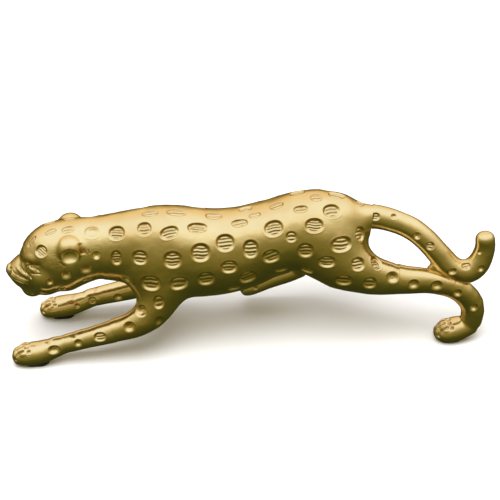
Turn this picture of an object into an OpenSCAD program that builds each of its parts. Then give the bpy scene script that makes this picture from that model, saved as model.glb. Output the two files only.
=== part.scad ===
// Spotted cat hood ornament: hollow torso and head castings, four solid legs and a tail.
// Each limb seats on a spigot and is held by a cross pin. Three paws carry tapped inserts
// and rubber pads. Millimetres, +Z up, nose towards -X, the pads' undersides on z = 0.

/* [Figure] */
// Length from the nose to the bend of the tail
figure_length = 245; // [200:1:300]
// Width across the forelegs
figure_width = 52; // [43:1:62]
// Height of the rump above the bonnet
figure_height = 79.5; // [66:0.5:95]

/* [Castings] */
// Wall of the hollow torso and head
wall = 3; // [2.4:0.1:3.8]
// Gap between a spigot and its socket, on the radius
spigot_gap = 0.05; // [0.02:0.01:0.15]

/* [Neck joint] */
// Radius of the head's tubular spigot
neck_spigot_r = 11; // [9:0.5:12]
// Length of the neck spigot
neck_spigot_l = 10; // [8:0.5:12]
// Radius of the bore through the neck spigot
neck_bore_r = 7.5; // [5:0.5:8]

/* [Limb joints] */
// Radius of the foreleg spigots
fore_spigot_r = 3; // [2.5:0.1:3.6]
// Radius of the hind leg spigots
hind_spigot_r = 3.4; // [2.8:0.1:4]
// Radius of the tail's spigot
tail_spigot_r = 3.2; // [2.6:0.1:3.8]
// Length of the leg and tail spigots
spigot_l = 8; // [6:0.5:9.5]
// Room beyond the end of each spigot
socket_relief = 0.5; // [0.2:0.1:1]
// Radius of the cross pins and the dowel
pin_r = 1.2; // [0.9:0.1:1.5]

/* [Bonnet fixings] */
// Radius of the tapped hole, an M4 tapping size
thread_r = 1.65; // [1.3:0.05:2]
// Outside radius of each insert
insert_r = 3; // [2.6:0.1:3.4]
// Length of each insert
insert_l = 7; // [5.5:0.1:8.5]
// Metal left above the tapped hole
insert_end = 1; // [0.5:0.1:1.5]
// Thickness of the rubber pads
pad_t = 1; // [0.6:0.1:1.4]
// Width of the rubber pads
pad_w = 8; // [7.2:0.2:9]
// Length of the rubber pads
pad_l = 12; // [10:0.5:14]
// Radius of the hole through each pad
pad_hole_r = 2.3; // [1.8:0.1:2.8]

/* [Belly plugs] */
// Radius of the plugs that close the core holes
plug_r = 2.4; // [1.8:0.1:3]
// Height that a plug stands proud of the belly
plug_proud = 0.3; // [0.1:0.1:0.6]

/* [Hidden] */

gold = [0.83, 0.62, 0.25];
brass = [0.72, 0.58, 0.3];
steel = [0.62, 0.63, 0.65];
rubber = [0.06, 0.06, 0.06];

// The stations below are drawn for this size of figure, and scaled to the one asked for.
drawn_length = 245;
drawn_width = 52;
drawn_height = 79.5;
kx = figure_length / drawn_length;
ky = figure_width / drawn_width;
kz = figure_height / drawn_height;

body_sides = 40;
limb_sides = 24;
core_sides = 20;
steps = 3; // rings drawn for each station
dome_angles = [25, 45, 62, 76, 86];
far = 40; // reach of a cutting tool past the surface
eps = 0.01;
$fn = 48;

// Stations of each form, from its free end or its root: [x, y, z, half width, half height]
head_stations = [
    [-121, 0, 46.2, 2, 2.2], [-119.2, 0, 45.2, 4.6, 4.8], [-115.6, 0, 43.6, 8.2, 8.8],
    [-110.5, 0, 43.6, 12, 13.8], [-104, 0, 46, 15, 17.8], [-96, 0, 50, 16.2, 19],
    [-88, 0, 52.8, 15.6, 17.8], [-80, 0, 54.4, 14.9, 16.5], [-73, 0, 54.9, 14.8, 16.5]
];
neck = len(head_stations) - 1;
torso_stations = [
    [-60, 0, 54.4, 16.6, 19.4], [-48, 0, 52.2, 19.6, 23.4], [-34, 0, 49.8, 20.6, 24],
    [-20, 0, 48.8, 20.2, 22.8], [-5, 0, 50.4, 19.4, 21.4], [8, 0, 55, 19, 19.4],
    [22, 0, 59, 19.4, 19.4], [34, 0, 59, 19, 20.4], [46, 0, 58.4, 15.6, 18.2],
    [54, 0, 57.6, 11.4, 13.6]
];
rump_dome = 5;
spine_stations = concat(head_stations, torso_stations);

left_foreleg_stations = [
    [-41, -12, 45, 9.6, 12], [-45, -15, 33, 9, 10.6], [-52, -17.6, 24.4, 7.6, 8.2],
    [-60, -18.8, 20, 6.5, 6.7], [-70, -19, 17, 5.7, 6], [-83, -19, 13.6, 5, 5.2],
    [-94, -19, 10.6, 4.8, 4.8]
];
left_forepaw_stations = [
    [-92, -19, 11.2, 4.4, 4.4], [-100, -19, 8.2, 5.8, 5.6], [-107, -19, 5.8, 6.8, 6.2],
    [-114, -19, 5.2, 6.7, 5.8], [-118, -19, 4.6, 5.4, 4.6]
];
right_foreleg_stations = [
    [-33, 12, 45, 9.6, 12], [-36, 15, 32, 9, 10.6], [-42, 17.6, 22.6, 7.6, 8.2],
    [-50, 18.8, 17.6, 6.5, 6.7], [-60, 19, 15, 5.7, 6], [-72, 19, 12.2, 5, 5.2],
    [-83, 19, 9.8, 4.8, 4.8]
];
right_forepaw_stations = [
    [-81, 19, 10.2, 4.4, 4.4], [-88, 19, 7.6, 5.8, 5.6], [-95, 19, 5.8, 6.8, 6.2],
    [-102, 19, 5.2, 6.7, 5.8], [-106, 19, 4.6, 5.4, 4.6]
];
left_hind_leg_stations = [
    [28, -9, 53, 11, 15], [44, -12, 46, 12, 14.6], [58, -14.5, 41.2, 9.4, 11.6],
    [72, -16, 37.8, 7, 8], [88, -17, 36.4, 6, 6.6], [101.5, -17.6, 32, 5.7, 6.2],
    [110.4, -18, 21.5, 5.3, 5.9], [110.8, -18, 10, 5, 5.6]
];
left_hind_paw_stations = [
    [111.5, -18, 8, 4.8, 5], [106.6, -18, 6.2, 6.2, 6], [101, -18, 5.4, 7, 6.2],
    [97, -18, 4.9, 6.6, 5.6], [95.2, -18, 4.4, 5, 4.2]
];
right_thigh_stations = [
    [38, 9, 54, 11, 15], [32, 13, 43.5, 11, 12], [28, 16.5, 35, 8, 8.6],
    [28, 18.4, 28, 6, 6.4], [27, 19, 22.5, 5, 5]
];
right_hind_foot_stations = [
    [28.6, 19, 22.6, 4.6, 4.4], [20, 19.2, 19.6, 5, 4.6], [10, 19.4, 16.4, 5.2, 4.6],
    [2, 19.4, 13, 5.6, 4.8], [-1.4, 19.4, 11.8, 4.8, 4.2]
];
tail_stations = [
    [40, 0, 61, 7.8, 8.6], [50, 0, 65.6, 6.8, 7.4], [60.5, -1, 66.2, 5.9, 6.3],
    [71, -3, 64, 5.6, 5.8], [80, -6, 60.4, 5.6, 5.8], [87, -9.2, 55, 5.7, 5.8],
    [93.5, -12.6, 48.2, 5.8, 6], [100.5, -15.2, 41.6, 6, 6.3], [108, -16, 40.6, 6, 6.3],
    [114.2, -15.6, 45.8, 5.5, 5.9], [117, -14.8, 53, 4.9, 5.1], [117.6, -14.4, 59, 4.5, 4.6]
];
ear_root = [-88, 9, 59];
ear_tip = [-89, 16, 67];
ear_half_thick = 2.6;
ear_half_width = 6.2;

// Joints: the place of each joint among its stations
fore_joint = 4;
hind_joint = 3;
right_hind_joint = 3;
tail_joint = 2;

// Places of the paws' fixings along the bonnet, and of the belly plugs
left_forepaw_x = -109;
right_forepaw_x = -97;
fore_pad_y = 19;
left_hind_paw_x = 101.5;
hind_pad_y = -18;
plug_xs = [-18, 2, 16];
neck_pin_angles = [-40, 40];
dowel_x = 103;

// ---- Sweeps ----
function unit(v) = v / norm(v);
function place(s) = [s[0], s[1], s[2]];
function fitted(list) = [
    for (s = list) [s[0] * kx, s[1] * ky, s[2] * kz, s[3] * ky, s[4] * kz]
];
function between(a, b, c, d, t) = 0.5 * (
    2 * b + (c - a) * t + (2 * a - 5 * b + 4 * c - d) * t * t
    + (3 * b - a - 3 * c + d) * t * t * t
);
function refined(s) = let (last = len(s) - 1) [
    for (i = [0:last - 1]) for (k = [0:steps - 1])
        between(s[max(i - 1, 0)], s[i], s[i + 1], s[min(i + 2, last)], k / steps),
    s[last]
];
function part_of(s, first, last) = [for (i = [first:last]) s[i]];
function heading(s, i) = unit(place(s[min(i + 1, len(s) - 1)]) - place(s[max(i - 1, 0)]));
function dome(s, direction, depth) = [
    for (a = dome_angles)
        let (p = place(s) + direction * depth * sin(a))
            [p.x, p.y, p.z, s[3] * cos(a), s[4] * cos(a)]
];
function flipped(s) = [for (i = [len(s) - 1:-1:0]) s[i]];
function domed_end(s, depth) = concat(
    s, dome(s[len(s) - 1], heading(s, len(s) - 1), depth)
);
function domed_start(s, depth) = flipped(domed_end(flipped(s), depth));
function inset(s, t) = [for (p = s) [p[0], p[1], p[2], p[3] - t, p[4] - t]];

function ring(s, i, sides, direction) = let (
    side = unit([0, 1, 0] - direction.y * direction),
    up = cross(direction, side)
) [
    for (j = [0:sides - 1])
        let (a = 360 * j / sides) place(s[i]) + side * s[i][3] * cos(a) + up * s[i][4] * sin(a)
];

// A closed skin through the stations. Flat ends take the headings given for them.
module skin(s, sides, first = undef, last = undef) {
    rings = len(s);
    points = [
        for (i = [0:rings - 1]) each ring(s, i, sides,
            i == 0 && first != undef ? first : i == rings - 1 && last != undef ? last : heading(s, i))
    ];
    walls = [
        for (i = [0:rings - 2]) for (j = [0:sides - 1])
            let (a = i * sides + j, b = i * sides + (j + 1) % sides)
                each [[a, a + sides, b + sides], [a, b + sides, b]]
    ];
    front = [for (j = [0:sides - 1]) j];
    back = [for (j = [sides - 1:-1:0]) (rings - 1) * sides + j];
    polyhedron(points = points, faces = concat([front], walls, [back]));
}

// Puts +Z along a direction at a point.
module aimed(point, direction) {
    translate(point)
        rotate([0, acos(direction.z), atan2(direction.y, direction.x)])
            children();
}

// ---- Paths, refined from the stations ----
spine = refined(fitted(spine_stations));
neck_i = neck * steps;
neck_p = place(spine[neck_i]);
neck_dir = heading(spine, neck_i);

left_fore = refined(fitted(left_foreleg_stations));
right_fore = refined(fitted(right_foreleg_stations));
left_hind = refined(fitted(left_hind_leg_stations));
right_hind = refined(fitted(right_thigh_stations));
tail_path = refined(fitted(tail_stations));

fore_i = fore_joint * steps;
hind_i = hind_joint * steps;
right_hind_i = right_hind_joint * steps;
tail_i = tail_joint * steps;

// The part of a limb that belongs to the torso, from inside the body to the joint's plane
module stub(path, i, sides = limb_sides) {
    skin(part_of(path, 0, i), sides, last = heading(path, i));
}

// The rest of the limb, with a rounded end
module limb(path, i, depth, sides = limb_sides) {
    skin(domed_end(part_of(path, i, len(path) - 1), depth), sides, first = heading(path, i));
}

module spigot(path, i, r) {
    aimed(place(path[i]), -heading(path, i))
        translate([0, 0, -eps * 10])
            cylinder(r = r, h = spigot_l + eps * 10);
}

module socket(path, i, r) {
    aimed(place(path[i]), -heading(path, i))
        translate([0, 0, -eps * 10])
            cylinder(r = r + spigot_gap, h = spigot_l + socket_relief + eps * 10);
}

// Cross pin halfway along a spigot. It enters from the side facing the median plane.
function pin_point(path, i) = place(path[i]) - heading(path, i) * spigot_l / 2;
function pin_side(path, i, inward) = unit([0, inward, 0] - inward * heading(path, i).y * heading(path, i));
pin_sunk = 0.8;
pin_bite = 1.2;

module cross_pin(path, i, r, inward, open = 0) {
    aimed(pin_point(path, i), pin_side(path, i, inward))
        translate([0, 0, -r - pin_bite])
            cylinder(r = pin_r, h = r + pin_bite + path[i][3] - pin_sunk + open);
}

module cross_hole(path, i, r, inward) {
    cross_pin(path, i, r, inward, open = 3);
}

// ---- Neck ----
function ellipse_reach(w, h, a) = 1 / sqrt(pow(sin(a) / w, 2) + pow(cos(a) / h, 2));
neck_pin_point = neck_p + neck_dir * neck_spigot_l / 2;
neck_pin_inner = neck_bore_r + 0.8;

module neck_pin(angle, open = 0) {
    outer = ellipse_reach(spine[neck_i][3], spine[neck_i][4], angle) - pin_sunk;
    aimed(neck_pin_point, [0, sin(angle), -cos(angle)])
        translate([0, 0, neck_pin_inner])
            cylinder(r = pin_r, h = outer - neck_pin_inner + open);
}

// ---- Torso ----
core_start = neck_p + neck_dir * (neck_spigot_l + socket_relief);
core_stations = [for (q = fitted(part_of(torso_stations, 0, 7))) if (q[0] > core_start.x + 2) q];
core_mouth = [core_start.x, core_start.y, core_start.z, spine[neck_i][3], spine[neck_i][4]];
core_dome = 6;

module torso_core() {
    skin(domed_end(inset(concat([core_mouth], core_stations), wall), core_dome), core_sides,
        first = neck_dir);
}

module neck_socket() {
    aimed(neck_p, neck_dir)
        translate([0, 0, -1])
            cylinder(r = neck_spigot_r + spigot_gap, h = neck_spigot_l + socket_relief + 2);
}

function belly(x) = let (
    i = min([for (i = [neck_i:len(spine) - 1]) if (spine[i][0] >= x * kx) i]),
    t = (x * kx - spine[i - 1][0]) / (spine[i][0] - spine[i - 1][0])
) (1 - t) * (spine[i - 1][2] - spine[i - 1][4]) + t * (spine[i][2] - spine[i][4]);

module core_plug(x, proud, depth) {
    translate([x * kx, 0, belly(x) - proud])
        cylinder(r = plug_r, h = proud + depth);
}

module torso_skin() {
    skin(domed_end(part_of(spine, neck_i, len(spine) - 1), rump_dome), body_sides,
        first = neck_dir);
}

module torso() {
    color(gold)
        difference() {
            union() {
                torso_skin();
                stub(left_fore, fore_i);
                stub(right_fore, fore_i);
                stub(left_hind, hind_i);
                stub(right_hind, right_hind_i);
                stub(tail_path, tail_i);
            }
            torso_core();
            neck_socket();
            socket(left_fore, fore_i, fore_spigot_r);
            socket(right_fore, fore_i, fore_spigot_r);
            socket(left_hind, hind_i, hind_spigot_r);
            socket(right_hind, right_hind_i, hind_spigot_r);
            socket(tail_path, tail_i, tail_spigot_r);
            cross_hole(left_fore, fore_i, fore_spigot_r, 1);
            cross_hole(right_fore, fore_i, fore_spigot_r, -1);
            cross_hole(left_hind, hind_i, hind_spigot_r, 1);
            cross_hole(right_hind, right_hind_i, hind_spigot_r, -1);
            cross_hole(tail_path, tail_i, tail_spigot_r, 1);
            for (angle = neck_pin_angles)
                neck_pin(angle, open = 5);
            for (x = plug_xs)
                core_plug(x, far, wall + 2);
        }
}

module core_plugs() {
    color(brass)
        for (x = plug_xs)
            core_plug(x, plug_proud, wall);
}

// ---- Head ----
head_core_stations = fitted(part_of(head_stations, 3, 7));
head_core_dome = 5;
neck_bore_start = 12;

module head_core() {
    skin(domed_start(inset(head_core_stations, wall), head_core_dome), core_sides);
}

module ear(hand) {
    root = [ear_root.x * kx, hand * ear_root.y * ky, ear_root.z * kz];
    tip = [ear_tip.x * kx, hand * ear_tip.y * ky, ear_tip.z * kz];
    s = [
        for (t = [0, 0.35, 0.62])
            [each (root + (tip - root) * t), ear_half_thick, ear_half_width * (1 - 0.1 * t)]
    ];
    skin(domed_end(s, norm(tip - root) * 0.38), 16);
}

module head() {
    color(gold)
        difference() {
            union() {
                skin(part_of(spine, 0, neck_i), body_sides, last = neck_dir);
                ear(1);
                ear(-1);
                aimed(neck_p, neck_dir)
                    translate([0, 0, -wall])
                        cylinder(r = neck_spigot_r, h = neck_spigot_l + wall);
            }
            head_core();
            aimed(neck_p, neck_dir)
                translate([0, 0, -neck_bore_start])
                    cylinder(r = neck_bore_r, h = neck_spigot_l + neck_bore_start + 1);
            for (angle = neck_pin_angles)
                neck_pin(angle);
        }
}

module neck_pins() {
    color(steel)
        for (angle = neck_pin_angles)
            neck_pin(angle);
}

// ---- Paws: the sole is cut flat where the pad lies, and bored for the insert ----
module below_sole() {
    translate([-figure_length, -figure_width, -far])
        cube([2 * figure_length, 2 * figure_width, far + pad_t]);
}

module insert_seat(x, y) {
    translate([x * kx, y * ky, pad_t - 1])
        cylinder(r = insert_r, h = insert_l + 1);
}

module foreleg(path, paw, pad_x, pad_y, inward) {
    color(gold)
        difference() {
            union() {
                limb(path, fore_i, 3);
                skin(domed_end(refined(fitted(paw)), 3.2), limb_sides);
                spigot(path, fore_i, fore_spigot_r);
            }
            cross_pin(path, fore_i, fore_spigot_r, inward);
            below_sole();
            insert_seat(pad_x, pad_y);
        }
}

module left_foreleg() {
    foreleg(left_fore, left_forepaw_stations, left_forepaw_x, -fore_pad_y, 1);
}

module right_foreleg() {
    foreleg(right_fore, right_forepaw_stations, right_forepaw_x, fore_pad_y, -1);
}

module left_hind_shape() {
    limb(left_hind, hind_i, 4);
    skin(domed_start(domed_end(refined(fitted(left_hind_paw_stations)), 2.6), 3), limb_sides);
}

module left_hind_leg() {
    color(gold)
        difference() {
            union() {
                left_hind_shape();
                spigot(left_hind, hind_i, hind_spigot_r);
            }
            cross_pin(left_hind, hind_i, hind_spigot_r, 1);
            below_sole();
            insert_seat(left_hind_paw_x, hind_pad_y);
            tail_rest_dowel();
        }
}

module right_hind_leg() {
    color(gold)
        difference() {
            union() {
                limb(right_hind, right_hind_i, 3);
                skin(domed_start(domed_end(refined(fitted(right_hind_foot_stations)), 2.6), 3),
                    limb_sides);
                spigot(right_hind, right_hind_i, hind_spigot_r);
            }
            cross_pin(right_hind, right_hind_i, hind_spigot_r, -1);
        }
}

// ---- Tail: it rests on the hock, notched to sit on it, with a dowel between them ----
dowel_low = 33;
dowel_high = 42;

module tail_rest_dowel() {
    color(steel)
        translate([dowel_x * kx, -16.6 * ky, dowel_low * kz])
            cylinder(r = pin_r, h = (dowel_high - dowel_low) * kz);
}

module tail() {
    color(gold)
        difference() {
            union() {
                difference() {
                    limb(tail_path, tail_i, 4.4);
                    left_hind_shape();
                    torso_skin();
                }
                spigot(tail_path, tail_i, tail_spigot_r);
            }
            cross_pin(tail_path, tail_i, tail_spigot_r, 1);
            tail_rest_dowel();
        }
}

// ---- Fixings ----
module insert(x, y) {
    color(brass)
        difference() {
            translate([x * kx, y * ky, pad_t])
                cylinder(r = insert_r, h = insert_l);
            translate([x * kx, y * ky, pad_t - 1])
                cylinder(r = thread_r, h = insert_l - insert_end + 1);
        }
}

module pad(x, y) {
    straight = pad_l - pad_w;
    color(rubber)
        translate([x * kx, y * ky, 0])
            difference() {
                union() {
                    for (end = [-0.5, 0.5])
                        translate([end * straight, 0, 0])
                            cylinder(r = pad_w / 2, h = pad_t);
                    translate([-straight / 2, -pad_w / 2, 0])
                        cube([straight, pad_w, pad_t]);
                }
                translate([0, 0, -1])
                    cylinder(r = pad_hole_r, h = pad_t + 2);
            }
}

torso();
head();
left_foreleg();
right_foreleg();
left_hind_leg();
right_hind_leg();
tail();
neck_pins();
color(steel) cross_pin(left_fore, fore_i, fore_spigot_r, 1);  // left_foreleg_pin
color(steel) cross_pin(right_fore, fore_i, fore_spigot_r, -1);  // right_foreleg_pin
color(steel) cross_pin(left_hind, hind_i, hind_spigot_r, 1);  // left_hind_leg_pin
color(steel) cross_pin(right_hind, right_hind_i, hind_spigot_r, -1);  // right_hind_leg_pin
color(steel) cross_pin(tail_path, tail_i, tail_spigot_r, 1);  // tail_root_pin
tail_rest_dowel();
core_plugs();
insert(left_forepaw_x, -fore_pad_y);  // left_forepaw_insert
insert(right_forepaw_x, fore_pad_y);  // right_forepaw_insert
insert(left_hind_paw_x, hind_pad_y);  // left_hind_paw_insert
pad(left_forepaw_x, -fore_pad_y);  // left_forepaw_pad
pad(right_forepaw_x, fore_pad_y);  // right_forepaw_pad
pad(left_hind_paw_x, hind_pad_y);  // left_hind_paw_pad
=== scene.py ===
"""Spotted cat hood ornament in gilt brass: the castings, their chased detail and the studio.

Each casting is lofted through its stations, merged, softened where a limb leaves the body,
parted at its joint, and then chased with the coat's spots, the face and the toes.
Shapes are worked in millimetres and turned to metres when a casting is finished.
"""

import math

import bmesh
import bpy
import numpy as np
from mathutils import Matrix, Vector, noise


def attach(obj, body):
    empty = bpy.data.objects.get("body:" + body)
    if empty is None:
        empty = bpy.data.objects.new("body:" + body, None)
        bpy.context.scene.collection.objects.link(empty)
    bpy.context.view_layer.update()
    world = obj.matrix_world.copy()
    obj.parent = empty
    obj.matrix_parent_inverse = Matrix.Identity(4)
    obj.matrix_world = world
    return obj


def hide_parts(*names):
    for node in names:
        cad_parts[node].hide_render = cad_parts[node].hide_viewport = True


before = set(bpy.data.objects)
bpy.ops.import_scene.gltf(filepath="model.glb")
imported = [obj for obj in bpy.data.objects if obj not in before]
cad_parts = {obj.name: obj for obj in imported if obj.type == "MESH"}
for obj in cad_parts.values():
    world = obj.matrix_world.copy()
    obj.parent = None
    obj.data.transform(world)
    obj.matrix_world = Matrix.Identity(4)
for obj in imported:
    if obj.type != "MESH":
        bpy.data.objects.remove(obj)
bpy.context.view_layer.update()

MM = 0.001
PAD_T = 1.0  # thickness of the rubber pads, which the soles stand on
INSERT_R, INSERT_DEEP = 3.0, 7.0  # the seat of an insert, from the sole up
TORSO_VOXEL, HEAD_VOXEL, LIMB_VOXEL = 0.76, 0.34, 0.4  # fineness of the skins
STEPS = 3  # refined stations for each drawn one
RNG = np.random.default_rng(7)

# ---- Stations of the forms, from their free ends or roots: x, y, z, half width, half height
SPINE = [
    (-121, 0, 46.2, 2, 2.2), (-119.2, 0, 45.2, 4.6, 4.8), (-115.6, 0, 43.6, 8.2, 8.8),
    (-110.5, 0, 43.6, 12, 13.8), (-104, 0, 46, 15, 17.8), (-96, 0, 50, 16.2, 19),
    (-88, 0, 52.8, 15.6, 17.8), (-80, 0, 54.4, 14.9, 16.5), (-73, 0, 54.9, 14.8, 16.5),
    (-60, 0, 54.4, 16.6, 19.4), (-48, 0, 52.2, 19.6, 23.4), (-34, 0, 49.8, 20.6, 24),
    (-20, 0, 48.8, 20.2, 22.8), (-5, 0, 50.4, 19.4, 21.4), (8, 0, 55, 19, 19.4),
    (22, 0, 59, 19.4, 19.4), (34, 0, 59.2, 19, 20.5), (46, 0, 59, 15.8, 18.6),
    (54.6, 0, 58, 11.8, 14.2),
]
NECK = 8  # the station that the head joins the torso at
LEFT_FORELEG = [
    (-41, -12, 45, 9.8, 12.4), (-45.4, -15, 33, 9, 11), (-52.6, -17.6, 24.8, 7.6, 8.8),
    (-60, -18.8, 20.2, 6.5, 7), (-70, -19, 17, 5.7, 6), (-83, -19, 13.6, 5, 5.1),
    (-94, -19, 10.6, 4.8, 4.8),
]
LEFT_FOREPAW = [
    (-92, -19, 11.2, 4.4, 4.4), (-100, -19, 8.4, 5.4, 5.4), (-107, -19, 6, 6.3, 5.9),
    (-114, -19, 5.3, 6.3, 5.6), (-118, -19, 4.7, 5.2, 4.5),
]
RIGHT_FORELEG = [
    (-33, 12, 45, 9.6, 12), (-36, 15, 32, 9, 10.6), (-42, 17.6, 22.6, 7.6, 8.2),
    (-50, 18.8, 17.6, 6.5, 6.7), (-60, 19, 15, 5.7, 6), (-72, 19, 12.2, 5, 5.2),
    (-83, 19, 9.8, 4.8, 4.8),
]
RIGHT_FOREPAW = [
    (-81, 19, 10, 4.5, 4.6), (-88, 19, 7.4, 5.3, 5.2), (-95, 19, 5.7, 6.1, 5.5),
    (-102, 19, 5, 6, 5.1), (-105.6, 19, 4.4, 5, 4.1),
]
LEFT_HIND_LEG = [
    (28, -9, 54.4, 11, 13.2), (44, -12, 46.8, 12, 13.6), (58, -14.5, 41.2, 9.4, 11.6),
    (72, -16, 37.8, 7, 8), (88, -17, 36.4, 6, 6.6), (101.8, -17.6, 32, 5.7, 6.2),
    (111.2, -18, 21.5, 5.3, 6.1), (111.6, -18, 10, 5, 5.8),
]
LEFT_HIND_PAW = [
    (112.2, -18, 8, 4.8, 5), (107, -18, 6.4, 6.2, 6), (101.5, -18, 5.2, 7, 5.8),
    (97.4, -18, 4.4, 6.6, 4.8), (95.4, -18, 4, 5.2, 3.6),
]
RIGHT_THIGH = [
    (38, 9, 54, 11, 15), (32, 13, 43.5, 11, 12), (28, 16.5, 35, 8, 8.6),
    (28, 18.4, 28, 6, 6.4), (27, 19, 22.5, 5, 5),
]
RIGHT_HIND_FOOT = [
    (28.6, 19, 22, 4.6, 4.6), (20, 19.2, 18.6, 5, 4.8), (10, 19.4, 15.4, 5.2, 4.8),
    (2, 19.4, 12.2, 5.6, 4.8), (-1.4, 19.4, 11, 4.8, 4.2),
]
TAIL = [
    (40, 0, 61, 7.8, 8.6), (50, 0, 65.6, 6.8, 7.4), (60.5, -1, 66.2, 5.9, 6.3),
    (71, -3, 64.3, 5.6, 5.9), (80.3, -6, 60.8, 5.6, 5.8), (87.4, -9.2, 55.3, 5.6, 5.7),
    (93.9, -12.6, 48.4, 5.7, 5.9), (100.6, -15.2, 41.8, 5.9, 6.2), (108, -16, 40.6, 6, 6.2),
    (113.4, -15.6, 45.6, 5.6, 5.8), (115.5, -14.8, 53, 5, 5.1), (115.2, -14.4, 58.8, 4.8, 4.9),
]


# ---- Lofting ----
def refined(stations):
    """Catmull-Rom stations between the drawn ones."""
    s = np.array(stations, float)
    out = []
    for i in range(len(s) - 1):
        a, b, c, d = s[max(i - 1, 0)], s[i], s[i + 1], s[min(i + 2, len(s) - 1)]
        for k in range(STEPS):
            t = k / STEPS
            out.append(0.5 * (2 * b + (c - a) * t + (2 * a - 5 * b + 4 * c - d) * t ** 2
                              + (3 * b - a - 3 * c + d) * t ** 3))
    return np.array(out + [s[-1]])


def heading(stations, i):
    """The direction that a station faces, from its neighbours."""
    way = stations[min(i + 1, len(stations) - 1)][:3] - stations[max(i - 1, 0)][:3]
    return way / np.linalg.norm(way)


def domed(stations, depth):
    """Adds a rounded end to the last station."""
    last, way = stations[-1], heading(stations, len(stations) - 1)
    rings = []
    for angle in (20, 38, 54, 68, 80, 87):
        a = math.radians(angle)
        rings.append(np.r_[last[:3] + way * depth * math.sin(a), last[3:] * math.cos(a)])
    return np.vstack([stations, rings])


def ring_matrix(station, way):
    """Turns a unit circle into the ring of a station, square to its heading."""
    way = Vector(way)
    side = (Vector((0, 1, 0)) - way.y * way).normalized()
    up = way.cross(side)
    turned = Matrix((side * station[3], up * station[4], way)).transposed().to_4x4()
    return Matrix.Translation(Vector(station[:3])) @ turned


def loft(bm, stations, start_dome=None, end_dome=None, sides=28):
    """A closed form through the stations, given a rounded or a flat end at each end."""
    s = refined(stations)
    if end_dome:
        s = domed(s, end_dome)
    if start_dome:
        s = domed(s[::-1], start_dome)[::-1]
    loops = []
    for i, station in enumerate(s):
        made = bmesh.ops.create_circle(
            bm, segments=sides, radius=1, matrix=ring_matrix(station, heading(s, i)))
        loops.append(list({e for v in made["verts"] for e in v.link_edges}))
    for near, far in zip(loops, loops[1:]):
        bmesh.ops.bridge_loops(bm, edges=near + far)
    for end in (loops[0], loops[-1]):
        bmesh.ops.contextual_create(bm, geom=end)


def ball(bm, centre, radii, turn=(0, 0, 0)):
    """An ellipsoid of clay, turned by degrees about X, Y and Z."""
    matrix = Matrix.Translation(centre)
    for axis, degrees in zip("XYZ", turn):
        matrix = matrix @ Matrix.Rotation(math.radians(degrees), 4, axis)
    bmesh.ops.create_icosphere(
        bm, subdivisions=4, radius=1, matrix=matrix @ Matrix.Diagonal((*radii, 1)))


def balls(bm, rows, mirrored=True):
    """Ellipsoids from rows of centre, radii and turn; mirrored ones stand on both sides."""
    for centre, radii, turn in rows:
        ball(bm, centre, radii, turn)
        if mirrored and centre[1]:
            ball(bm, (centre[0], -centre[1], centre[2]), radii, (-turn[0], turn[1], -turn[2]))


def as_object(bm, name):
    """Makes an object of a bmesh, with its faces turned outwards."""
    bmesh.ops.recalc_face_normals(bm, faces=bm.faces)
    mesh = bpy.data.meshes.new(name)
    bm.to_mesh(mesh)
    bm.free()
    obj = bpy.data.objects.new(name, mesh)
    bpy.context.scene.collection.objects.link(obj)
    return obj


def settled(obj):
    """The object's mesh with its modifiers applied."""
    bpy.context.view_layer.update()
    return bpy.data.meshes.new_from_object(
        obj.evaluated_get(bpy.context.evaluated_depsgraph_get()))


def cut_away(obj, tool):
    """Takes the tool's shape out of the object, as a live modifier."""
    cut = obj.modifiers.new("cut", "BOOLEAN")
    cut.operation, cut.object, cut.solver = "DIFFERENCE", tool, "FAST"


def merged(bm, voxel, name, hollows=()):
    """One closed skin over all the forms in the bmesh, less the hollows carved from it."""
    obj = as_object(bm, name)
    tools = []
    for i in range(2 if hollows else 1):
        remesh = obj.modifiers.new("skin", "REMESH")
        remesh.mode = "VOXEL"
        remesh.voxel_size = voxel
        remesh.adaptivity = 0
        if hollows and not i:
            tool = bmesh.new()
            balls(tool, hollows)
            tools.append(as_object(tool, "hollows"))
            cut_away(obj, tools[0])
    skin = settled(obj)
    for spent in [obj] + tools:
        mesh = spent.data
        bpy.data.objects.remove(spent)
        bpy.data.meshes.remove(mesh)
    return skin


# ---- Working the clay ----
def smooth(low, high, value):
    """Rises from 0 at low to 1 at high, level at both ends."""
    t = np.clip((value - low) / (high - low), 0, 1)
    return t * t * (3 - 2 * t)


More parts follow.
